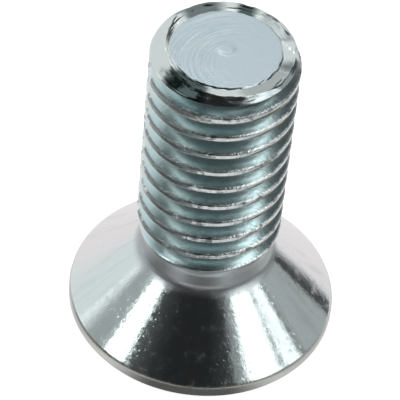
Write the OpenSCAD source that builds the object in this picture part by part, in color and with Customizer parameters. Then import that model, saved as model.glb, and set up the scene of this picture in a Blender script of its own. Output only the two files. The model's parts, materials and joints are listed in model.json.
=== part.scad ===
// Countersunk machine screw, standing on its head with the thread upwards.
// The origin is the centre of the head's flat face and +Z runs along the axis to the tip.

/* [Head] */
// Diameter of the head over its land
head_d = 9.3; // [8:0.1:12]
// Height of the straight land around the head's edge
land_h = 0.45; // [0.3:0.05:1]
// Included angle of the countersunk cone, in degrees
cone_angle = 90; // [75:1:100]
// Rounding of the edge between the land and the flat face
face_edge_r = 0.12; // [0.05:0.01:0.2]
// Rounding of the edge between the land and the cone
cone_edge_r = 0.15; // [0.05:0.01:0.3]

/* [Shank] */
// Length of the screw from the head's flat face to the tip
screw_l = 12; // [8:0.5:20]
// Length of the plain neck between the cone and the thread
neck_l = 0.75; // [0.5:0.05:3]
// Hollow rounding where the cone runs into the neck
neck_fillet_r = 0.3; // [0.1:0.05:0.6]

/* [Thread] */
// Major diameter over the crests
thread_d = 5; // [4:0.1:6]
// Pitch of the single right-hand start
pitch = 0.8; // [0.5:0.05:1]
// Length over which the rolled thread fades into the neck
runout_l = 0.8; // [0.4:0.1:2]
// Direction in which the crest would reach the tip, in degrees about the axis
start_angle = 313; // [0:1:359]

/* [Tip] */
// Width of the 45 degree chamfer around the tip
tip_chamfer = 0.3; // [0.1:0.05:0.6]
// Width of the rolled lip between the chamfer and the sunk end face
lip_w = 0.3; // [0.1:0.05:0.6]
// Depth of the end face below the lip
end_face_depth = 0.1; // [0.05:0.01:0.3]
// Diameter of the low rounded mark in the middle of the end face
nub_d = 0.4; // [0.2:0.05:0.8]
// Height of that mark
nub_h = 0.05; // [0.02:0.01:0.1]

/* [Cross recess] */
// Width across the wings at the head's flat face
recess_w = 5.2; // [4.4:0.1:6]
// Depth of the wings
recess_depth = 2.5; // [1.5:0.1:2.8]
// Thickness of a wing at its floor
wing_t = 0.7; // [0.5:0.05:0.9]
// Draft of a wing's two sides, in degrees
wing_draft = 5.75; // [3:0.25:8]
// Slope of a wing's outer end against the axis, in degrees
wing_slope = 26.5; // [20:0.5:30]
// Diameter of the round well at the floor, which blunts the inner corners
well_d = 1.4; // [1.1:0.05:1.8]
// Depth of the cone below the floor of the well
well_point_h = 0.4; // [0.2:0.05:0.6]

/* [Hidden] */
$fn = 96;
zinc = "#b9c3c8";
// Distance by which a cut runs past the face that it opens
overcut = 0.5;

// Basic triangle of a metric thread, from its pitch
flank_angle = 30;
triangle_h = pitch / 2 / tan(flank_angle);
crest_w = pitch / 8;
root_r = triangle_h / 6;
thread_depth = 17 / 24 * triangle_h;
crest_r = thread_d / 2;
bottom_r = crest_r - thread_depth;

// The thread is rolled on a blank of about its pitch diameter, which is left bare at the neck
neck_r = crest_r - 3 / 8 * triangle_h;
head_r = head_d / 2;
half_cone = cone_angle / 2;
cone_top = land_h + (head_r - neck_r) / tan(half_cone);
neck_top = cone_top + neck_l;

// The tip, from the chamfer inwards
tip_r = crest_r - tip_chamfer;
lip_r = tip_r - lip_w;
end_face_z = screw_l - end_face_depth;

// Facets of the thread: steps in a turn, and the points of its section over one pitch
turn_steps = 48;
root_half_angle = 90 - flank_angle;
section = [
    [-crest_w / 2, crest_r],
    [crest_w / 2, crest_r],
    for (a = [-root_half_angle, 0, root_half_angle])
        [pitch / 2 + root_r * sin(a), bottom_r + root_r * (1 - cos(a))]
];
rows_per_pitch = len(section);

// The core of the thread enters the neck, this much inside its surface
core_inset = 0.06;
core_r = neck_r - core_inset;

// Least pitches of the thread that lie hidden in the neck, and those that are cut off above the tip
hidden_pitches = 1.1;
cut_pitches = 2;
start_share = start_angle / 360;
low_pitches = ceil((screw_l - neck_top) / pitch - start_share + hidden_pitches);
pitches = low_pitches + cut_pitches;
row_count = pitches * rows_per_pitch;
start_z = screw_l - pitch * (start_share + low_pitches);

function clamp01(x) = min(1, max(0, x));
function smooth(x) = x * x * (3 - 2 * x);

// Share of the full thread depth at a height above the neck
function thread_share(z) = smooth(clamp01((z - neck_top) / runout_l));

// Point of one row of the thread's skin at one step of its turn
function thread_point(row, step) =
    let (place = section[row % rows_per_pitch])
    let (z = start_z + pitch * (floor(row / rows_per_pitch) + step / turn_steps) + place[0])
    let (r = core_r + (place[1] - core_r) * thread_share(z))
    let (angle = 360 * step / turn_steps)
    [r * cos(angle), r * sin(angle), z];

// Index of such a point: after a full turn, a row goes on as the row one pitch above it
function point_index(row, step) =
    step < turn_steps ? row * turn_steps + step : (row + rows_per_pitch) * turn_steps + step - turn_steps;

// Flat outline, in radius and height, that the head and neck are turned from
module head_outline() {
    land_tangent = cone_edge_r * tan(half_cone / 2);
    fillet_tangent = neck_fillet_r * tan(half_cone / 2);
    edge_centre = [head_r - cone_edge_r, land_h - land_tangent];
    fillet_centre = [neck_r + neck_fillet_r, cone_top + fillet_tangent];
    difference() {
        union() {
            polygon([
                [0, 0],
                [head_r - face_edge_r, 0],
                [head_r, face_edge_r],
                [head_r, land_h - land_tangent],
                [head_r - land_tangent * sin(half_cone), land_h + land_tangent * cos(half_cone)],
                [neck_r + fillet_tangent * sin(half_cone), cone_top - fillet_tangent * cos(half_cone)],
                [neck_r, cone_top + fillet_tangent],
                [neck_r, neck_top],
                [0, neck_top]
            ]);
            translate([head_r - face_edge_r, face_edge_r]) circle(face_edge_r);
            translate(edge_centre) circle(cone_edge_r);
        }
        translate(fillet_centre) circle(neck_fillet_r);
    }
}

// Core and helical ridge in one skin, longer than the shank at both ends
module thread() {
    last = row_count - 1;
    low_end = row_count * turn_steps;
    high_end = low_end + 1;
    low_rim = [
        for (step = [0 : turn_steps - 1]) point_index(0, step),
        for (row = [rows_per_pitch : -1 : 0]) point_index(row, 0)
    ];
    high_rim = [
        for (step = [0 : turn_steps - 1]) point_index(last, step),
        for (row = [last - 1 : -1 : last - rows_per_pitch]) point_index(row, turn_steps - 1),
        point_index(last, 0)
    ];
    points = [
        for (row = [0 : last], step = [0 : turn_steps - 1]) thread_point(row, step),
        [0, 0, start_z + pitch / 2],
        [0, 0, start_z + pitch * (pitches + 1 / 2)]
    ];
    skin = [
        for (row = [0 : last - 1], step = [0 : turn_steps - 1])
            if (step < turn_steps - 1 || row < last - rows_per_pitch)
                let (a = point_index(row, step), b = point_index(row, step + 1))
                let (c = point_index(row + 1, step + 1), d = point_index(row + 1, step))
                each [[a, d, c], [a, c, b]]
    ];
    low_cap = [for (i = [0 : len(low_rim) - 2]) [low_end, low_rim[i], low_rim[i + 1]]];
    high_cap = [for (i = [0 : len(high_rim) - 2]) [high_end, high_rim[i + 1], high_rim[i]]];
    polyhedron(points, concat(skin, low_cap, high_cap), convexity = 20);
}

// What is taken off the end of the thread: all above the tip, around its chamfer and inside its lip
module tip_waste() {
    waste_r = crest_r + overcut;
    waste_top = screw_l + pitch * (cut_pitches + 1);
    rotate_extrude() polygon([
        [0, end_face_z],
        [lip_r - end_face_depth, end_face_z],
        [lip_r, screw_l],
        [tip_r, screw_l],
        [waste_r, screw_l - (waste_r - tip_r)],
        [waste_r, waste_top],
        [0, waste_top]
    ]);
}

// Low mark in the middle of the end face: the cap of a ball sunk in the shank
module nub() {
    ball_r = (pow(nub_d / 2, 2) + pow(nub_h, 2)) / (2 * nub_h);
    translate([0, 0, end_face_z + nub_h - ball_r]) sphere(ball_r);
}

// One pair of wings of the cross recess, drafted and running along X
module wing_pair() {
    floor_half = wing_t / 2;
    mouth_half = floor_half + (recess_depth + overcut) * tan(wing_draft);
    rotate([90, 0, 90]) linear_extrude(height = recess_w * 2, center = true) polygon([
        [-mouth_half, -overcut],
        [mouth_half, -overcut],
        [floor_half, recess_depth],
        [-floor_half, recess_depth]
    ]);
}

// Four-winged drive, punched into the flat face
module cross_recess() {
    mouth_r = recess_w / 2 + overcut * tan(wing_slope);
    floor_r = recess_w / 2 - recess_depth * tan(wing_slope);
    well_mouth_r = well_d / 2 + (recess_depth + overcut) * tan(wing_draft);
    intersection() {
        union() {
            wing_pair();
            rotate(90) wing_pair();
        }
        translate([0, 0, -overcut]) cylinder(h = recess_depth + overcut, r1 = mouth_r, r2 = floor_r);
    }
    translate([0, 0, -overcut]) cylinder(h = recess_depth + overcut, r1 = well_mouth_r, r2 = well_d / 2);
    translate([0, 0, recess_depth]) cylinder(h = well_point_h, d1 = well_d, d2 = 0);
}

module countersunk_screw() {
    color(zinc) {
        difference() {
            union() {
                rotate_extrude() head_outline();
                thread();
            }
            tip_waste();
            cross_recess();
        }
        nub();
    }
}

countersunk_screw();
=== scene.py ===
import json
import math

import bpy
from mathutils import Matrix, Vector


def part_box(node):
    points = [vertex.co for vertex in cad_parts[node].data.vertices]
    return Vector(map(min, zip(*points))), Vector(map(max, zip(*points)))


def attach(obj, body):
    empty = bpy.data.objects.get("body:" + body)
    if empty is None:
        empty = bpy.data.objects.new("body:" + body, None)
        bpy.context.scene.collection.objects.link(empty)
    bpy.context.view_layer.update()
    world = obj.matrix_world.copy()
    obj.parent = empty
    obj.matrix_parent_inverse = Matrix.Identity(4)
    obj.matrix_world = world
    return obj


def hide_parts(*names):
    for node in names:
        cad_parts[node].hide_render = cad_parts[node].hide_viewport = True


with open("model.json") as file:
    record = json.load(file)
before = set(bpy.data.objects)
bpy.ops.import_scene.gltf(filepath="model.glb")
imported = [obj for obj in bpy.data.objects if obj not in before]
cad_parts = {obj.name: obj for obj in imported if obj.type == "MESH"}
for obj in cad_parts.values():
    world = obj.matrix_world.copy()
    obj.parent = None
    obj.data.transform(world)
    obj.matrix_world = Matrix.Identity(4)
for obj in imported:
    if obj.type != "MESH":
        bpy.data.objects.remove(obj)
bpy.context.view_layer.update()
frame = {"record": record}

# Countersunk screw: one piece of steel, cold headed, turned at the tip and rolled with a right-hand
# metric thread, then zinc plated and blue passivated. A curve gives its turned outlines, and a node tree
# revolves them, rolls the thread and punches the cross recess.
MM = 0.001
mounts = {mount["name"]: mount["dims"] for mount in frame["record"]["mounts"]}
screw_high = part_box("countersunk_screw")[1]

screw_l = screw_high.z
head_r = mounts["countersunk_seat"]["r_mm"] * MM
crest_r = mounts["thread"]["r_mm"] * MM
pitch = 0.8 * MM
# Direction in which the middle of the crest reaches the level of the tip
start_degrees = 313

# Metric profile: the roots lie 17/24 of the sharp triangle under the crests, and the pitch radius 3/8
triangle_h = pitch / 2 / math.tan(math.radians(30))
root_r = crest_r - 17 / 24 * triangle_h
neck_r = crest_r - 3 / 8 * triangle_h

land_h = 0.45 * MM
cone_run = head_r - neck_r
cone_top = land_h + head_r - neck_r
neck_top = screw_l - mounts["thread"]["length_mm"] * MM
thread_foot = neck_top - 0.38 * MM

tip_start = screw_l - 0.6 * MM
tip_r = crest_r - 0.26 * MM
chamfer_foot = screw_l - (crest_r - tip_r)
end_face_r = 1.8 * MM
end_face_z = screw_l - 0.03 * MM
lip_foot_r = end_face_r + 0.03 * MM
lip_foot_z = screw_l - 0.08 * MM
nub_r = 0.32 * MM
nub_top_r = 0.6 * nub_r
nub_top_z = end_face_z + 0.024 * MM

# Rows beside the roundings keep the flat face and the cone evenly shaded
face_row_r = head_r - 0.3 * MM
land_row = 0.05 * cone_run
neck_row = 0.1 * cone_run
face_rounding = 0.12 * MM
land_rounding = 0.28 * MM
neck_rounding = 0.45 * MM
chamfer_rounding = 0.15 * MM
tip_rounding = 0.04 * MM
lip_rounding = 0.03 * MM
nub_foot_rounding = 0.5 * MM
nub_top_rounding = 0.4 * MM

# Each point of an outline is its radius, its height and the rounding of that corner
head_outline = [
    (0, 0, 0),
    (face_row_r, 0, 0),
    (head_r, 0, face_rounding),
    (head_r, land_h, land_rounding),
    (head_r - land_row, land_h + land_row, 0),
    (neck_r + neck_row, cone_top - neck_row, 0),
    (neck_r, cone_top, neck_rounding),
    (neck_r, thread_foot, 0),
]
tip_outline = [
    (crest_r, tip_start, 0),
    (crest_r, chamfer_foot, chamfer_rounding),
    (tip_r, screw_l, tip_rounding),
    (lip_foot_r, lip_foot_z, lip_rounding),
    (end_face_r, end_face_z, lip_rounding),
    (nub_r, end_face_z, nub_foot_rounding),
    (nub_top_r, nub_top_z, nub_top_rounding),
    (0, nub_top_z, 0),
]
outline = bpy.data.curves.new("screw_outline", "CURVE")
outline.dimensions = "3D"
for corners in (head_outline, tip_outline):
    spline = outline.splines.new("POLY")
    spline.points.add(len(corners) - 1)
    for spline_point, (corner_r, corner_h, rounding) in zip(spline.points, corners):
        spline_point.co = (corner_r, 0, corner_h, 1)
        spline_point.radius = rounding
screw_blank = bpy.data.objects.new("screw_outline", outline)
bpy.context.scene.collection.objects.link(screw_blank)


def put(tree, kind, inputs=(), **settings):
    """Adds a node, sets it up, and links or sets its inputs by name or number."""
    node = tree.nodes.new(kind)
    for name, value in settings.items():
        setattr(node, name, value)
    for name, value in dict(inputs).items():
        if isinstance(value, bpy.types.NodeSocket):
            tree.links.new(value, node.inputs[name])
        else:
            node.inputs[name].default_value = value
    return node


def calc(tree, operation, *values):
    """One Math node, as its result."""
    return put(tree, "ShaderNodeMath", enumerate(values), operation=operation).outputs[0]


def step(tree, value, low, high, to_low=0.0, to_high=1.0, kind="SMOOTHSTEP"):
    """A step of a value between two of its levels, as its result."""
    return put(tree, "ShaderNodeMapRange", {
        "Value": value, "From Min": low, "From Max": high, "To Min": to_low, "To Max": to_high,
    }, interpolation_type=kind).outputs[0]


screw_tree = bpy.data.node_groups.new("Rolled screw", "GeometryNodeTree")
screw_sizes = {
    "Corner points": 8,
    "Turn steps": 168,
    "Rows a pitch": 30,
    "Row bunching": 0.45,
    "Pitch": pitch,
    "Start share": start_degrees / 360,
    "Crest radius": crest_r,
    "Root radius": root_r,
    "Neck radius": neck_r,
    "Crest width": 0.17 * MM,
    "First crest widening": 0.08 * MM,
    "First crest foot": screw_l - 1.5 * MM,
    "Crest rounding": 0.06 * MM,
    "Groove hollow": 1.4,
    "Rim rounding": triangle_h / 6,
    "Run-out start": neck_top - 0.2 * MM,
    "Run-out length": 0.8 * MM,
    "Thread foot": thread_foot,
    "Tip start": tip_start,
    "Tip radius": tip_r,
    "Tip edge rounding": tip_rounding,
    "End face radius": end_face_r,
    "Rim fade": 0.5 * MM,
    "Lip narrowing": 0.26 * MM,
    "Narrow side": math.radians(200),
    "Lip unevenness": 0.035 * MM,
    "Lip waves": 3.5,
    "Crest unevenness": 0.03 * MM,
    "Crest waves": 9.0,
    "Pole size": 0.02 * MM,
    "Screw length": screw_l,
    "Weld gap": 0.0005 * MM,
    "Recess radius": mounts["cross_recess"]["r_mm"] * MM,
    "Recess depth": mounts["cross_recess"]["length_mm"] * MM,
    "Recess slope": math.tan(math.radians(26.5)),
    "Recess steps": 64,
    "Wing thickness": 0.7 * MM,
    "Wing draft": math.tan(math.radians(5.75)),
    "Well radius": 0.7 * MM,
    "Well point": 0.4 * MM,
    "Overcut": 0.5 * MM,
    "Crisp angle": math.radians(32),
}
screw_tree.interface.new_socket("Geometry", in_out="INPUT", socket_type="NodeSocketGeometry")
screw_sockets = {}
for size_name, size_value in screw_sizes.items():
    size_kind = "NodeSocketInt" if isinstance(size_value, int) else "NodeSocketFloat"
    screw_sockets[size_name] = screw_tree.interface.new_socket(
        size_name, in_out="INPUT", socket_type=size_kind)
finish_socket = screw_tree.interface.new_socket("Finish", in_out="INPUT", socket_type="NodeSocketMaterial")
screw_tree.interface.new_socket("Geometry", in_out="OUTPUT", socket_type="NodeSocketGeometry")
given = screw_tree.nodes.new("NodeGroupInput").outputs


def form(kind, inputs=(), **settings):
    """A node of the screw's tree."""
    return put(screw_tree, kind, inputs, **settings)


def size(operation, *values):
    """A sum in the screw's tree."""
    return calc(screw_tree, operation, *values)


def rise(value, low, high):
    """A soft step in the screw's tree, from 0 at a low level to 1 at a high one."""
    return step(screw_tree, value, low, high)


# Turned outlines with their corners rounded, the head's first and the tip's second
rounded = form("GeometryNodeFilletCurve", {
    "Curve": given["Geometry"],
    "Count": given["Corner points"],
    "Radius": form("GeometryNodeInputRadius").outputs[0],
    "Limit Radius": True,
}, mode="POLY").outputs[0]
which = form("GeometryNodeCurveOfPoint").outputs["Curve Index"]
of_tip = form("FunctionNodeCompare", {2: which, 3: 1}, data_type="INT", operation="EQUAL").outputs[0]
outlines = form("GeometryNodeSeparateGeometry", {"Geometry": rounded, "Selection": of_tip}, domain="POINT")
tip_curve, head_curve = outlines.outputs

turn_steps = given["Turn steps"]
columns = size("ADD", turn_steps, 1)
index = form("GeometryNodeInputIndex").outputs[0]
position = form("GeometryNodeInputPosition").outputs[0]


def turned_grid(rows, radius_and_height):
    """A grid with one column for each step of the turn, bent round the axis by a rule for its rows."""
    column = size("FLOOR", size("DIVIDE", index, rows))
    row = size("SUBTRACT", index, size("MULTIPLY", column, rows))
    turn = size("DIVIDE", column, turn_steps)
    radius, height = radius_and_height(row, turn)
    angle = size("MULTIPLY", turn, math.tau)
    bent = form("ShaderNodeCombineXYZ", {
        "X": size("MULTIPLY", radius, size("COSINE", angle)),
        "Y": size("MULTIPLY", radius, size("SINE", angle)),
        "Z": height,
    }).outputs[0]
    grid = form("GeometryNodeMeshGrid", {"Vertices X": columns, "Vertices Y": rows}).outputs["Mesh"]
    return form("GeometryNodeSetPosition", {"Geometry": grid, "Position": bent}).outputs[0]


def on_outline(node, output):
    """Radius and height of a sampled outline point."""
    split = form("ShaderNodeSeparateXYZ", {0: node.outputs[output]})
    return split.outputs["X"], split.outputs["Z"]


# The head and neck take one row for each point of their outline
head_count = form("GeometryNodeAttributeDomainSize", {"Geometry": head_curve}, component="CURVE")
head_rows = head_count.outputs["Point Count"]


def head_rule(row, turn):
    """Radius and height of a row of the head, the same all round."""
    node = form("GeometryNodeSampleIndex", {"Geometry": head_curve, "Value": position, "Index": row},
                data_type="FLOAT_VECTOR", domain="POINT")
    return on_outline(node, "Value")


head_skin = turned_grid(head_rows, head_rule)

# The thread's rows climb with the turn, so that after a full turn a row meets the row one pitch above it
tip_length = form("GeometryNodeCurveLength", {"Curve": tip_curve}).outputs[0]
path_end = size("ADD", given["Tip start"], tip_length)
thread_length = size("SUBTRACT", given["Screw length"], given["Thread foot"])
low_turns = size("CEIL", size("ADD", size("DIVIDE", thread_length, given["Pitch"]), 1))
thread_base = size("SUBTRACT", given["Screw length"],
                   size("MULTIPLY", given["Pitch"], size("ADD", low_turns, given["Start share"])))
path_length = size("SUBTRACT", path_end, thread_base)
all_turns = size("CEIL", size("ADD", size("DIVIDE", path_length, given["Pitch"]), 1))
thread_rows = size("ADD", size("MULTIPLY", all_turns, given["Rows a pitch"]), 1)


def thread_rule(row, turn):
    """Radius and height of a row of the thread and tip at a turn."""
    # Rows lie closer together at the crests
    pitches = size("DIVIDE", row, given["Rows a pitch"])
    bunch = size("MULTIPLY", size("SINE", size("MULTIPLY", pitches, math.tau)),
                 size("DIVIDE", given["Row bunching"], math.tau))
    climb = size("ADD", size("SUBTRACT", pitches, bunch), turn)
    path = size("ADD", thread_base, size("MULTIPLY", climb, given["Pitch"]))
    path = size("MINIMUM", size("MAXIMUM", path, given["Thread foot"]), path_end)
    # The last rows close on the axis together
    at_pole = size("GREATER_THAN", path, size("SUBTRACT", path_end, given["Pole size"]))
    path = size("ADD", path, size("MULTIPLY", at_pole, size("SUBTRACT", path_end, path)))
    past_tip = size("SUBTRACT", path, given["Tip start"])
    sample = form("GeometryNodeSampleCurve", {"Curves": tip_curve, "Length": size("MAXIMUM", past_tip, 0)},
                  mode="LENGTH", use_all_curves=True)
    turned_r, turned_z = on_outline(sample, "Position")
    height = size("ADD", turned_z, size("MINIMUM", past_tip, 0))
    # Distance along the axis from the nearest crest, and the section's radius there
    phase = size("SUBTRACT", size("DIVIDE", size("SUBTRACT", height, thread_base), given["Pitch"]), turn)
    from_crest = size("MULTIPLY", size("PINGPONG", phase, 0.5), given["Pitch"])
    half_pitch = size("DIVIDE", given["Pitch"], 2)
    first_crest_top = size("ADD", given["First crest foot"], given["Rim fade"])
    widening = rise(height, given["First crest foot"], first_crest_top)
    widened = size("MULTIPLY", widening, given["First crest widening"])
    crest_width = size("ADD", given["Crest width"], widened)
    half_groove = size("DIVIDE", size("SUBTRACT", given["Pitch"], crest_width), 2)
    from_root = size("DIVIDE", size("SUBTRACT", half_pitch, from_crest), half_groove)
    thread_depth = size("SUBTRACT", given["Crest radius"], given["Root radius"])
    flank_height = size("MULTIPLY", size("POWER", from_root, given["Groove hollow"]), thread_depth)
    flank = size("ADD", given["Root radius"], flank_height)
    section = size("SMOOTH_MIN", flank, given["Crest radius"], given["Crest rounding"])
    # The last groove fills up to a full rim, and the depth fades out into the neck
    rim_foot = size("SUBTRACT", given["Screw length"], given["Rim fade"])
    rim_top = size("SUBTRACT", given["Screw length"], given["Lip unevenness"])
    filled = size("MULTIPLY", size("SUBTRACT", given["Tip radius"], given["Root radius"]),
                  rise(height, rim_foot, rim_top))
    section = size("SMOOTH_MAX", section, size("ADD", given["Root radius"], filled), given["Rim rounding"])
    runout_end = size("ADD", given["Run-out start"], given["Run-out length"])
    rolled_share = rise(height, given["Run-out start"], runout_end)
    off_neck = size("SUBTRACT", section, given["Neck radius"])
    rolled = size("ADD", given["Neck radius"], size("MULTIPLY", off_neck, rolled_share))
    radius = size("SMOOTH_MIN", rolled, turned_r, given["Tip edge rounding"])
    # The rolled crests are a little ragged
    angle = size("MULTIPLY", turn, math.tau)
    around = form("ShaderNodeCombineXYZ", {
        "X": size("COSINE", angle),
        "Y": size("SINE", angle),
        "Z": size("DIVIDE", height, given["Crest radius"]),
    }).outputs[0]
    crest_noise = form("ShaderNodeTexNoise", {
        "Vector": around, "Scale": given["Crest waves"], "Detail": 2}).outputs[0]
    crest_edge = size("SUBTRACT", given["Crest radius"], given["Crest rounding"])
    crest_share = rise(radius, crest_edge, given["Crest radius"])
    wear = size("MULTIPLY", size("MULTIPLY", crest_noise, crest_share), given["Crest unevenness"])
    radius = size("SUBTRACT", radius, wear)
    # The chamfer is deeper on one side, where it narrows the lip, and the lip dips a little around the tip
    lip_share = rise(radius, given["End face radius"], given["Tip radius"])
    near_end = rise(height, size("SUBTRACT", given["Screw length"], half_pitch), given["Screw length"])
    moved = size("MULTIPLY", lip_share, near_end)
    side = size("MAXIMUM", size("COSINE", size("SUBTRACT", angle, given["Narrow side"])), 0)
    inwards = size("MULTIPLY", size("POWER", side, 2), given["Lip narrowing"])
    from_axis = size("DIVIDE", radius, given["Tip radius"])
    lip_place = form("ShaderNodeVectorMath", {0: around, "Scale": from_axis}, operation="SCALE").outputs[0]
    lip_noise = form("ShaderNodeTexNoise", {
        "Vector": lip_place, "Scale": given["Lip waves"], "Detail": 1}).outputs[0]
    dip_from, dip_full = 0.45, 0.75
    dip = size("MULTIPLY", rise(lip_noise, dip_from, dip_full), given["Lip unevenness"])
    radius = size("SUBTRACT", radius, size("MULTIPLY", inwards, moved))
    height = size("SUBTRACT", height, size("MULTIPLY", dip, moved))
    return radius, height


thread_skin = turned_grid(thread_rows, thread_rule)

# Skins joined at the neck, the seam and the poles
skins = form("GeometryNodeJoinGeometry")
for skin in (head_skin, thread_skin):
    screw_tree.links.new(skin, skins.inputs[0])
closed = form("GeometryNodeMergeByDistance", {
    "Geometry": skins.outputs[0], "Distance": given["Weld gap"]}).outputs[0]

# Cross recess: two drafted wings inside a cone, with a round well and its point, all cut from the head
overcut = given["Overcut"]
recess_low = size("MULTIPLY", overcut, -1)
cut_length = size("ADD", given["Recess depth"], overcut)
cube = form("GeometryNodeMeshCube").outputs["Mesh"]
corner = form("ShaderNodeSeparateXYZ", {0: position}).outputs
corner_z = size("SUBTRACT", size("MULTIPLY", size("ADD", corner["Z"], 0.5), cut_length), overcut)
over_floor = size("SUBTRACT", given["Recess depth"], corner_z)
half_wing = size("ADD", size("DIVIDE", given["Wing thickness"], 2),
                 size("MULTIPLY", over_floor, given["Wing draft"]))
wing_corner = form("ShaderNodeCombineXYZ", {
    "X": size("MULTIPLY", corner["X"], size("MULTIPLY", given["Recess radius"], 4)),
    "Y": size("MULTIPLY", size("MULTIPLY", corner["Y"], 2), half_wing),
    "Z": corner_z,
}).outputs[0]
wing = form("GeometryNodeSetPosition", {"Geometry": cube, "Position": wing_corner}).outputs[0]
cross_wing = form("GeometryNodeTransform", {"Geometry": wing, "Rotation": (0, 0, math.pi / 2)}).outputs[0]


def taper(low, low_r, high_r, length):
    """A round taper that stands on a level below or in the head."""
    cone = form("GeometryNodeMeshCone", {
        "Vertices": given["Recess steps"], "Radius Top": high_r, "Radius Bottom": low_r, "Depth": length,
    }).outputs["Mesh"]
    lift = form("ShaderNodeCombineXYZ", {"Z": low}).outputs[0]
    return form("GeometryNodeTransform", {"Geometry": cone, "Translation": lift}).outputs[0]


def combine(operation, first, *others):
    """Union, intersection or difference of closed skins."""
    node = form("GeometryNodeMeshBoolean", operation=operation, solver="EXACT")
    for other in others if operation == "DIFFERENCE" else (first, *others):
        screw_tree.links.new(other, node.inputs["Mesh 2"])
    if operation == "DIFFERENCE":
        screw_tree.links.new(first, node.inputs["Mesh 1"])
    return node.outputs["Mesh"]


wing_limit = taper(
    recess_low,
    size("ADD", given["Recess radius"], size("MULTIPLY", overcut, given["Recess slope"])),
    size("SUBTRACT", given["Recess radius"], size("MULTIPLY", given["Recess depth"], given["Recess slope"])),
    cut_length,
)
well = taper(
    recess_low,
    size("ADD", given["Well radius"], size("MULTIPLY", cut_length, given["Wing draft"])),
    given["Well radius"],
    cut_length,
)
well_point = taper(given["Recess depth"], given["Well radius"], 0.0, given["Well point"])
wings = combine("INTERSECT", combine("UNION", wing, cross_wing), wing_limit)
punch = combine("UNION", wings, combine("UNION", well, well_point))
punched = combine("DIFFERENCE", closed, punch)

# Smooth skin with crisp edges
smooth = form("GeometryNodeSetShadeSmooth", {"Geometry": punched, "Shade Smooth": True}).outputs[0]
bend = form("GeometryNodeInputMeshEdgeAngle").outputs["Unsigned Angle"]
crisp = form("FunctionNodeCompare", {0: bend, 1: given["Crisp angle"]},
             data_type="FLOAT", operation="GREATER_THAN").outputs[0]
edged = form("GeometryNodeSetShadeSmooth", {
    "Geometry": smooth, "Selection": crisp, "Shade Smooth": False}, domain="EDGE").outputs[0]
solid = form("GeometryNodeRealizeInstances", {"Geometry": edged}).outputs[0]
coated = form("GeometryNodeSetMaterial", {"Geometry": solid, "Material": given["Finish"]}).outputs[0]
screw_tree.links.new(coated, screw_tree.nodes.new("NodeGroupOutput").inputs[0])

# Finish: bright zinc with a thin blue passivate film, smooth on the head, teal in the rolled grooves,
# grainy on the crests and matt on the plain neck, with fine arcs from the cutter on the end face.
zinc = bpy.data.materials.new("zinc_plated_steel")
zinc.use_nodes = True
zinc_tree = zinc.node_tree
shader = zinc_tree.nodes["Principled BSDF"]


def coat(kind, inputs=(), **settings):
    """A node of the zinc finish."""
    return put(zinc_tree, kind, inputs, **settings)


def amount(operation, *values):
    """A sum in the zinc finish."""
    return calc(zinc_tree, operation, *values)


def ramp(value, low, high, to_low=0.0, to_high=1.0):
    """A soft step in the zinc finish, between two levels of a value."""
    return step(zinc_tree, value, low, high, to_low, to_high)


def blend(share, first, second):
    """First colour where the share is 0, and second where it is 1."""
    node = coat("ShaderNodeMix", {0: share}, data_type="RGBA")
    first_socket, second_socket, result = node.inputs[6], node.inputs[7], node.outputs[2]
    for socket, paint in ((first_socket, first), (second_socket, second)):
        if isinstance(paint, bpy.types.NodeSocket):
            zinc_tree.links.new(paint, socket)
        else:
            socket.default_value = (*paint, 1)
    return result


def grain(vector, waves, detail=2.0, roughness=0.5):
    """Noise about zero, with a number of waves in each unit of its vector."""
    noise = coat("ShaderNodeTexNoise", {
        "Vector": vector, "Scale": waves, "Detail": detail, "Roughness": roughness}).outputs[0]
    return amount("SUBTRACT", noise, 0.5)


# Places on the screw, in millimetres: distance from the axis, height, and height above the nearest crest
length_mm = screw_l / MM
pitch_mm = pitch / MM
neck_top_mm = neck_top / MM
cone_top_mm = cone_top / MM
head_mm = head_r / MM
neck_mm = neck_r / MM
crest_mm = crest_r / MM
end_face_mm = end_face_r / MM
# On a 45 degree slope, such as the cone's, the distance from the axis and the height have one sum
cone_sum_mm = (head_r + land_h) / MM
tip_sum_mm = (tip_r + screw_l) / MM

coords = coat("ShaderNodeTexCoord").outputs["Object"]
mm_place = coat("ShaderNodeVectorMath", {0: coords, "Scale": 1 / MM}, operation="SCALE").outputs[0]
axes = coat("ShaderNodeSeparateXYZ", {0: mm_place}).outputs
height_mm = axes["Z"]
across = amount("SQRT", amount("ADD", amount("POWER", axes["X"], 2.0), amount("POWER", axes["Y"], 2.0)))
across_and_up = amount("ADD", across, height_mm)
direction = amount("ARCTAN2", axes["Y"], axes["X"])
pitches_up = amount("DIVIDE", amount("SUBTRACT", height_mm, length_mm), pitch_mm)
turned = amount("DIVIDE", amount("SUBTRACT", direction, math.radians(start_degrees)), math.tau)
crest_phase = amount("FRACT", amount("ADD", amount("SUBTRACT", pitches_up, turned), 0.5))
above_crest = amount("MULTIPLY", amount("SUBTRACT", crest_phase, 0.5), pitch_mm)


def bearing(degrees):
    """Cosine of the angle from a direction in degrees: 1 on that side of the screw and -1 opposite."""
    return amount("COSINE", amount("SUBTRACT", direction, math.radians(degrees)))


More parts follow.
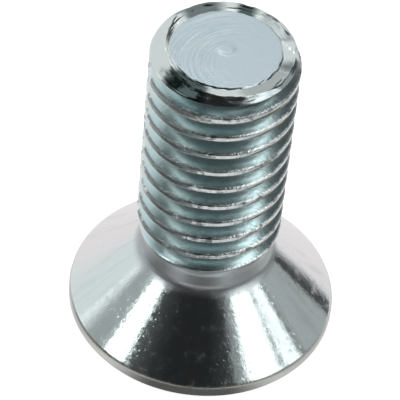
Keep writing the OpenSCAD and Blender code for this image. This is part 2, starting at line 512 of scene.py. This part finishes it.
# Masks of the screw's parts, each with a soft edge in millimetres
thread_edge = 0.3
face_edge = 0.02
lip_edge = 0.04
above_neck = ramp(height_mm, neck_top_mm - thread_edge, neck_top_mm + thread_edge)
on_head = amount("SUBTRACT", 1.0, above_neck)
inside_lip = ramp(across, end_face_mm + face_edge, end_face_mm - face_edge)
near_tip = ramp(height_mm, low=length_mm - 0.4, high=length_mm - 0.3)
on_end_face = amount("MULTIPLY", inside_lip, near_tip)
inside_chamfer = ramp(across_and_up, tip_sum_mm + lip_edge, tip_sum_mm - lip_edge)
on_lip = amount("MULTIPLY", amount("SUBTRACT", near_tip, on_end_face), inside_chamfer)
on_thread = amount("SUBTRACT", above_neck, amount("ADD", on_end_face, on_lip))
at_top = amount("MULTIPLY", on_thread, ramp(across, low=crest_mm - 0.12, high=crest_mm - 0.05))
above_cone = ramp(height_mm, low=cone_top_mm - 0.35, high=cone_top_mm - 0.05)
near_neck = ramp(across, low=neck_mm + 0.5, high=neck_mm + 0.2)
on_neck = amount("MULTIPLY", amount("MULTIPLY", above_cone, near_neck), on_head)
at_rim = ramp(across, low=head_mm - 0.08, high=head_mm - 0.03)
on_land = amount("MULTIPLY", at_rim, ramp(height_mm, low=0.0, high=0.05))
off_face = ramp(across_and_up, low=cone_sum_mm - 0.4, high=cone_sum_mm - 0.2)

# Painted lines of shade and highlight along the lower edge of the crests, at the front only, and broader at
# the front right
front, front_right = -90, -25
painted_line_shift = 0.07
painted_line_from, painted_line_full = -0.05, -0.09
shifted = ramp(bearing(front_right), low=0.7, high=0.95, to_high=painted_line_shift)
painted_line_edge = ramp(amount("SUBTRACT", above_crest, shifted), painted_line_from, painted_line_full)
painted_line_side = ramp(bearing(front), low=0.2, high=0.6)
on_painted_crest_line = amount("MULTIPLY", amount("MULTIPLY", at_top, painted_line_side), painted_line_edge)
on_crest = amount("SUBTRACT", at_top, on_painted_crest_line)

# Painted dark reflections on the lip, with ragged ends: direction and half of the width in degrees, and
# strength
reflection_edge = 6
raggedness = 0.3
ragged_ends = amount("MULTIPLY", grain(mm_place, waves=1.5, roughness=0.6), raggedness)
lip_dark_reflections = 0.0
for reflection_direction, half_width, strength in (
    (118, 19, 0.85),
    (75, 10, 1.0),
    (40, 20, 0.5),
    (345, 6, 0.8),
    (314, 25, 0.42),
    (238, 19, 1.0),
):
    off_reflection = amount("ADD", amount("ARCCOSINE", bearing(reflection_direction)), ragged_ends)
    reflection_from = math.radians(half_width + reflection_edge)
    reflection_full = math.radians(half_width - reflection_edge)
    lip_dark_reflections = amount("MAXIMUM", lip_dark_reflections, ramp(off_reflection, reflection_from, reflection_full, to_high=strength))

# Arcs that the cutter left on the end face, about a point off the axis, and fading to the right
cutter_centre = (0.45, -0.7, end_face_z / MM)
arcs_a_mm = 12.0
cutter_place = coat("ShaderNodeVectorMath", {0: mm_place, 1: cutter_centre}, operation="SUBTRACT").outputs[0]
cutter_axes = coat("ShaderNodeSeparateXYZ", {0: cutter_place}).outputs
from_cutter = coat("ShaderNodeVectorMath", {0: cutter_place}, operation="LENGTH").outputs["Value"]
cutter_turn = amount("ARCTAN2", cutter_axes["Y"], cutter_axes["X"])
arcs_place = coat("ShaderNodeCombineXYZ", {
    "X": amount("MULTIPLY", from_cutter, arcs_a_mm),
    "Y": amount("COSINE", cutter_turn),
    "Z": amount("SINE", cutter_turn),
}).outputs[0]
arc_grain = grain(arcs_place, waves=1.0, detail=3.0, roughness=0.6)
uneven_x = amount("ADD", axes["X"], grain(mm_place, waves=0.8, detail=1.0))
off_middle = amount("MULTIPLY", on_end_face, ramp(from_cutter, low=0.3, high=1.5))
arcs_share = amount("MULTIPLY", off_middle, ramp(uneven_x, low=1.0, high=-0.6))
arc_streaks = ramp(amount("MULTIPLY", arc_grain, arcs_share), low=-0.15, high=0.25)

# Colours of the zinc and its film. Seen aslant, a painted sheen tints it: pink on the head, grey on the
# thread.
head_zinc = (0.74, 0.84, 0.84)
sheen_pink = (0.86, 0.80, 0.82)
streak_grey = (0.45, 0.50, 0.48)
groove_teal = (0.60, 0.79, 0.81)
sheen_grey = (0.80, 0.84, 0.86)
lip_zinc = (0.72, 0.79, 0.79)
# Dark of the painted reflections on the lip
lip_reflection_dark = (0.07, 0.10, 0.10)
end_blue = (0.49, 0.61, 0.66)
end_pale = (0.68, 0.77, 0.81)
neck_grey = (0.48, 0.52, 0.53)
crest_white = (0.86, 0.93, 0.93)
# Dark of wear and of painted shade on the crests
crest_wear_and_shade_dark = (0.26, 0.30, 0.30)
# Painted shade and painted highlight of the lines under the crests
painted_shade_brown = (0.22, 0.19, 0.15)
painted_highlight_gold = (0.74, 0.70, 0.58)
land_grey = (0.62, 0.63, 0.60)
# Painted sheen, which grows where the surface is seen aslant
aslant = coat("ShaderNodeLayerWeight", {"Blend": 0.5}).outputs["Facing"]
head_sheen = ramp(aslant, low=0.35, high=0.65, to_high=0.8)
thread_sheen = ramp(aslant, low=0.24, high=0.42)

# Streaks that run down the cone, and are kept off the flat face and the recess
streaks_round = 7.0
streaks_along = 0.4
streaks_place = coat("ShaderNodeCombineXYZ", {
    "X": amount("MULTIPLY", amount("COSINE", direction), streaks_round),
    "Y": amount("MULTIPLY", amount("SINE", direction), streaks_round),
    "Z": amount("MULTIPLY", across, streaks_along),
}).outputs[0]
streak_grain = grain(streaks_place, waves=1.0, detail=3.0, roughness=0.6)
cone_streaks = amount("MULTIPLY", off_face, ramp(streak_grain, low=0.02, high=0.25, to_high=0.3))

# Patches of wear on the crests and on the painted lines under them, with more at the front left as painted
# shade
front_left = 230
painted_shade_front_left = ramp(bearing(front_left), low=0.75, high=0.95, to_high=0.25)
wear_and_shade = amount("SUBTRACT", grain(mm_place, waves=2.2, detail=3.0, roughness=0.7), painted_shade_front_left)
wear_and_shade_patches = ramp(wear_and_shade, low=-0.2, high=0.0)

colour = blend(head_sheen, head_zinc, sheen_pink)
for part_mask, part_colour in (
    (cone_streaks, streak_grey),
    (on_land, land_grey),
    (on_thread, blend(thread_sheen, groove_teal, sheen_grey)),
    (on_lip, blend(lip_dark_reflections, lip_zinc, lip_reflection_dark)),
    (on_end_face, blend(arc_streaks, end_blue, end_pale)),
    (on_crest, blend(wear_and_shade_patches, crest_wear_and_shade_dark, crest_white)),
    (on_painted_crest_line, blend(wear_and_shade_patches, painted_highlight_gold, painted_shade_brown)),
    (on_neck, neck_grey),
):
    colour = blend(part_mask, colour, part_colour)
zinc_tree.links.new(colour, shader.inputs["Base Color"])

# Roughness: that of bright zinc, and what each part adds to it
dullness = ramp(grain(mm_place, waves=2.5, detail=3.0), low=-0.3, high=0.3, to_low=0.08, to_high=0.14)
stain_grain = grain(mm_place, waves=3.0, detail=4.0, roughness=0.65)
stains = amount("MULTIPLY", ramp(stain_grain, low=0.0, high=0.3), on_head)
for part_mask, added in (
    (stains, 0.22),
    (on_land, 0.14),
    (on_thread, 0.13),
    (at_top, -0.06),
    (on_end_face, 0.14),
    (on_neck, 0.26),
):
    dullness = amount("ADD", dullness, amount("MULTIPLY", part_mask, added))
zinc_tree.links.new(dullness, shader.inputs["Roughness"])
shader.inputs["Metallic"].default_value = 1

# Relief in millimetres: waves and peel of the plating, pits on the head, grain on the crests, cutter arcs
wave_height = 0.004
peel_height = 0.004
crest_height = 0.018
arc_height = 0.014
pit_depth = 0.003
plating_waves = amount("MULTIPLY", grain(mm_place, waves=0.9, detail=1.0), wave_height)
peel = amount("MULTIPLY", grain(mm_place, waves=6.0, detail=3.0, roughness=0.6), peel_height)
pit_grain = grain(mm_place, waves=7.0)
pits = amount("MULTIPLY", ramp(pit_grain, low=0.12, high=0.3, to_high=-pit_depth), on_head)
crest_grain = grain(mm_place, waves=12.0, detail=3.0, roughness=0.65)
crest_relief = amount("MULTIPLY", amount("MULTIPLY", crest_grain, crest_height), at_top)
arc_relief = amount("MULTIPLY", amount("MULTIPLY", arc_grain, arc_height), arcs_share)
relief = amount("ADD", amount("ADD", plating_waves, peel), pits)
relief = amount("ADD", relief, amount("ADD", crest_relief, arc_relief))
bump = coat("ShaderNodeBump", {"Height": relief, "Distance": MM, "Strength": 1}).outputs[0]
zinc_tree.links.new(bump, shader.inputs["Normal"])

# The tree's result becomes a plain mesh, and the blank goes with its modifier
rolling = screw_blank.modifiers.new("Rolled screw", "NODES")
rolling.node_group = screw_tree
for size_name, size_socket in screw_sockets.items():
    rolling[size_socket.identifier] = screw_sizes[size_name]
rolling[finish_socket.identifier] = zinc
evaluated = screw_blank.evaluated_get(bpy.context.evaluated_depsgraph_get())
screw_mesh = bpy.data.meshes.new_from_object(evaluated)
bpy.data.objects.remove(screw_blank)
screw = bpy.data.objects.new("screw_body", screw_mesh)
bpy.context.scene.collection.objects.link(screw)
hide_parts("countersunk_screw")
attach(screw, "root")

# Floor: a plain white table top, on which the screw stands. The camera sees it white, with a faint shadow,
# and sees through it from below. The metal mirrors it pale, with a painted shadow in front of the head and
# one on each side.
floor_left, floor_right = -60 * MM, 16 * MM
floor_front, floor_back = -16 * MM, 110 * MM
floor_z = -0.01 * MM
floor_mesh = bpy.data.meshes.new("floor")
floor_mesh.from_pydata([
    (floor_left, floor_front, floor_z),
    (floor_right, floor_front, floor_z),
    (floor_right, floor_back, floor_z),
    (floor_left, floor_back, floor_z),
], [], [(0, 1, 2, 3)])
floor = bpy.data.objects.new("floor", floor_mesh)
bpy.context.scene.collection.objects.link(floor)

floor_paint = (0.9, 0.9, 0.9, 1)
floor_whitening = 0.8
floor_glow = 0.85
floor_white = bpy.data.materials.new("floor_white")
floor_white.use_nodes = True
floor_tree = floor_white.node_tree
floor_tree.nodes.clear()
floor_ray = put(floor_tree, "ShaderNodeLightPath").outputs
lit = put(floor_tree, "ShaderNodeBsdfDiffuse", {"Color": floor_paint}).outputs[0]
whitening = calc(floor_tree, "MULTIPLY", floor_ray["Is Camera Ray"], floor_whitening)
whitened = put(floor_tree, "ShaderNodeEmission", {"Strength": whitening}).outputs[0]
seen = put(floor_tree, "ShaderNodeAddShader", {0: lit, 1: whitened}).outputs[0]
floor_place = put(floor_tree, "ShaderNodeTexCoord").outputs["Object"]
# Painted shadows seen in the metal, in millimetres: place, inner and outer radius, and the share of the glow
# that is left
glow = floor_glow
for spot_x, spot_y, inner_r, outer_r, glow_left in (
    (0, -5.4, 1.5, 3.8, 0.16),
    (-10, -5, 4.5, 7, 0.16),
    (9.5, -5, 4, 7, 0.45),
):
    spot = (spot_x * MM, spot_y * MM, 0)
    from_spot = put(floor_tree, "ShaderNodeVectorMath", {0: floor_place, 1: spot}, operation="DISTANCE")
    spot_share = step(floor_tree, from_spot.outputs["Value"], inner_r * MM, outer_r * MM, glow_left, 1.0)
    glow = calc(floor_tree, "MULTIPLY", glow, spot_share)
mirrored = put(floor_tree, "ShaderNodeEmission", {"Strength": glow}).outputs[0]
top_side = put(floor_tree, "ShaderNodeMixShader", {
    0: floor_ray["Is Glossy Ray"], 1: seen, 2: mirrored}).outputs[0]
under_side = put(floor_tree, "ShaderNodeBsdfTransparent").outputs[0]
from_below = put(floor_tree, "ShaderNodeNewGeometry").outputs["Backfacing"]
both_sides = put(floor_tree, "ShaderNodeMixShader", {0: from_below, 1: top_side, 2: under_side}).outputs[0]
put(floor_tree, "ShaderNodeOutputMaterial", {"Surface": both_sides})
floor_mesh.materials.append(floor_white)

# Studio light: plain softboxes to the right and left of the camera and behind the screw, in a dim room that
# is darkest on the camera's side, with a white backdrop at the back and some light from below.
light_distance = 0.4


def softbox(name, azimuth, elevation, width, height, radiance):
    """An area lamp that faces the screw, with its sizes as angles. Azimuth 0 is the camera's side."""
    bearing_turn, lift = math.radians(azimuth), math.radians(elevation)
    outwards = Vector((
        math.sin(bearing_turn) * math.cos(lift),
        -math.cos(bearing_turn) * math.cos(lift),
        math.sin(lift),
    ))
    lamp = bpy.data.lights.new(name, "AREA")
    lamp.shape = "RECTANGLE"
    lamp.size = 2 * light_distance * math.tan(math.radians(width / 2))
    lamp.size_y = 2 * light_distance * math.tan(math.radians(height / 2))
    lamp.energy = radiance * math.pi * lamp.size * lamp.size_y
    box = bpy.data.objects.new(name, lamp)
    box.location = outwards * light_distance
    box.rotation_euler = outwards.to_track_quat("Z", "Y").to_euler()
    box.visible_camera = False
    bpy.context.scene.collection.objects.link(box)


# Azimuth, elevation, width and height of each softbox in degrees, and its radiance
softbox("right_tall", 59.5, 31, 23, 42, 1.4)
softbox("right_edge", 41, 40, 9, 56, 0.22)
softbox("right_high", 74, 58, 22, 18, 1.7)
softbox("right_low", 82, 20, 12, 34, 1.3)
softbox("left_strip", -64, 30, 15, 26, 1.9)
softbox("left_high", -74, 57, 16, 18, 1.1)
softbox("left_panel", -87, 23, 26, 34, 0.33)
softbox("back_high", 180, 62, 40, 24, 0.8)
softbox("right_panel", 107, 15, 30, 30, 0.36)

room_level = 0.07
camera_side_level = 0.02
backdrop_level = 0.74
below_level = 0.4
camera_side = Vector((-0.05, -0.75, 0.66)).normalized()
backdrop_side = Vector((-0.38, 0.90, -0.2))
studio = bpy.data.worlds.new("studio")
bpy.context.scene.world = studio
studio.use_nodes = True
studio_tree = studio.node_tree
studio_tree.nodes.clear()
studio_ray = put(studio_tree, "ShaderNodeLightPath").outputs
looking = put(studio_tree, "ShaderNodeTexCoord").outputs["Generated"]


def studio_side(side):
    """How far a look into the room goes towards one of its sides."""
    node = put(studio_tree, "ShaderNodeVectorMath", {0: looking, 1: side}, operation="DOT_PRODUCT")
    return node.outputs["Value"]


room = step(studio_tree, studio_side(camera_side), low=0.8, high=0.97,
            to_low=room_level, to_high=camera_side_level, kind="LINEAR")
backdrop = step(studio_tree, studio_side(backdrop_side), low=0.25, high=0.5, to_high=backdrop_level)
upwards = put(studio_tree, "ShaderNodeSeparateXYZ", {0: looking}).outputs["Z"]
from_under = step(studio_tree, upwards, low=-0.45, high=-0.7, to_high=below_level, kind="LINEAR")
surroundings = calc(studio_tree, "ADD", calc(studio_tree, "ADD", room, backdrop), from_under)
studio_level = put(studio_tree, "ShaderNodeMix", {
    0: studio_ray["Is Camera Ray"], 2: surroundings, 3: 1.0}, data_type="FLOAT").outputs[0]
studio_white = put(studio_tree, "ShaderNodeBackground", {"Color": (1, 1, 1, 1), "Strength": studio_level})
put(studio_tree, "ShaderNodeOutputWorld", {"Surface": studio_white.outputs[0]})

# Camera: in front of the screw and above it, where the photograph was taken from. Its place, aim, roll and
# focal length were fitted to the screw's outline and crests in the square image.
image_width = 400
camera_back = 60.962 * MM
camera_up = 69.040 * MM
camera_aim = Vector((-0.3524, 0, 4.8454)) * MM
camera_roll = math.radians(5.9263)
focal_pixels = 2600.77

camera_data = bpy.data.cameras.new("camera")
camera_data.sensor_width = 36
camera_data.lens = focal_pixels * camera_data.sensor_width / image_width
camera_data.clip_start = 0.001
camera_data.clip_end = 10
camera = bpy.data.objects.new("camera", camera_data)
bpy.context.scene.collection.objects.link(camera)
camera_place = Vector((0, -camera_back, camera_up))
camera_view = (camera_aim - camera_place).normalized()
level_right = camera_view.cross(Vector((0, 0, 1))).normalized()
upright = level_right.cross(camera_view)
image_right = math.cos(camera_roll) * level_right + math.sin(camera_roll) * upright
image_up = math.cos(camera_roll) * upright - math.sin(camera_roll) * level_right
camera_axes = Matrix((image_right, image_up, -camera_view)).transposed()
camera.matrix_world = Matrix.Translation(camera_place) @ camera_axes.to_4x4()
bpy.context.scene.camera = camera
bpy.context.scene.view_settings.view_transform = "Standard"
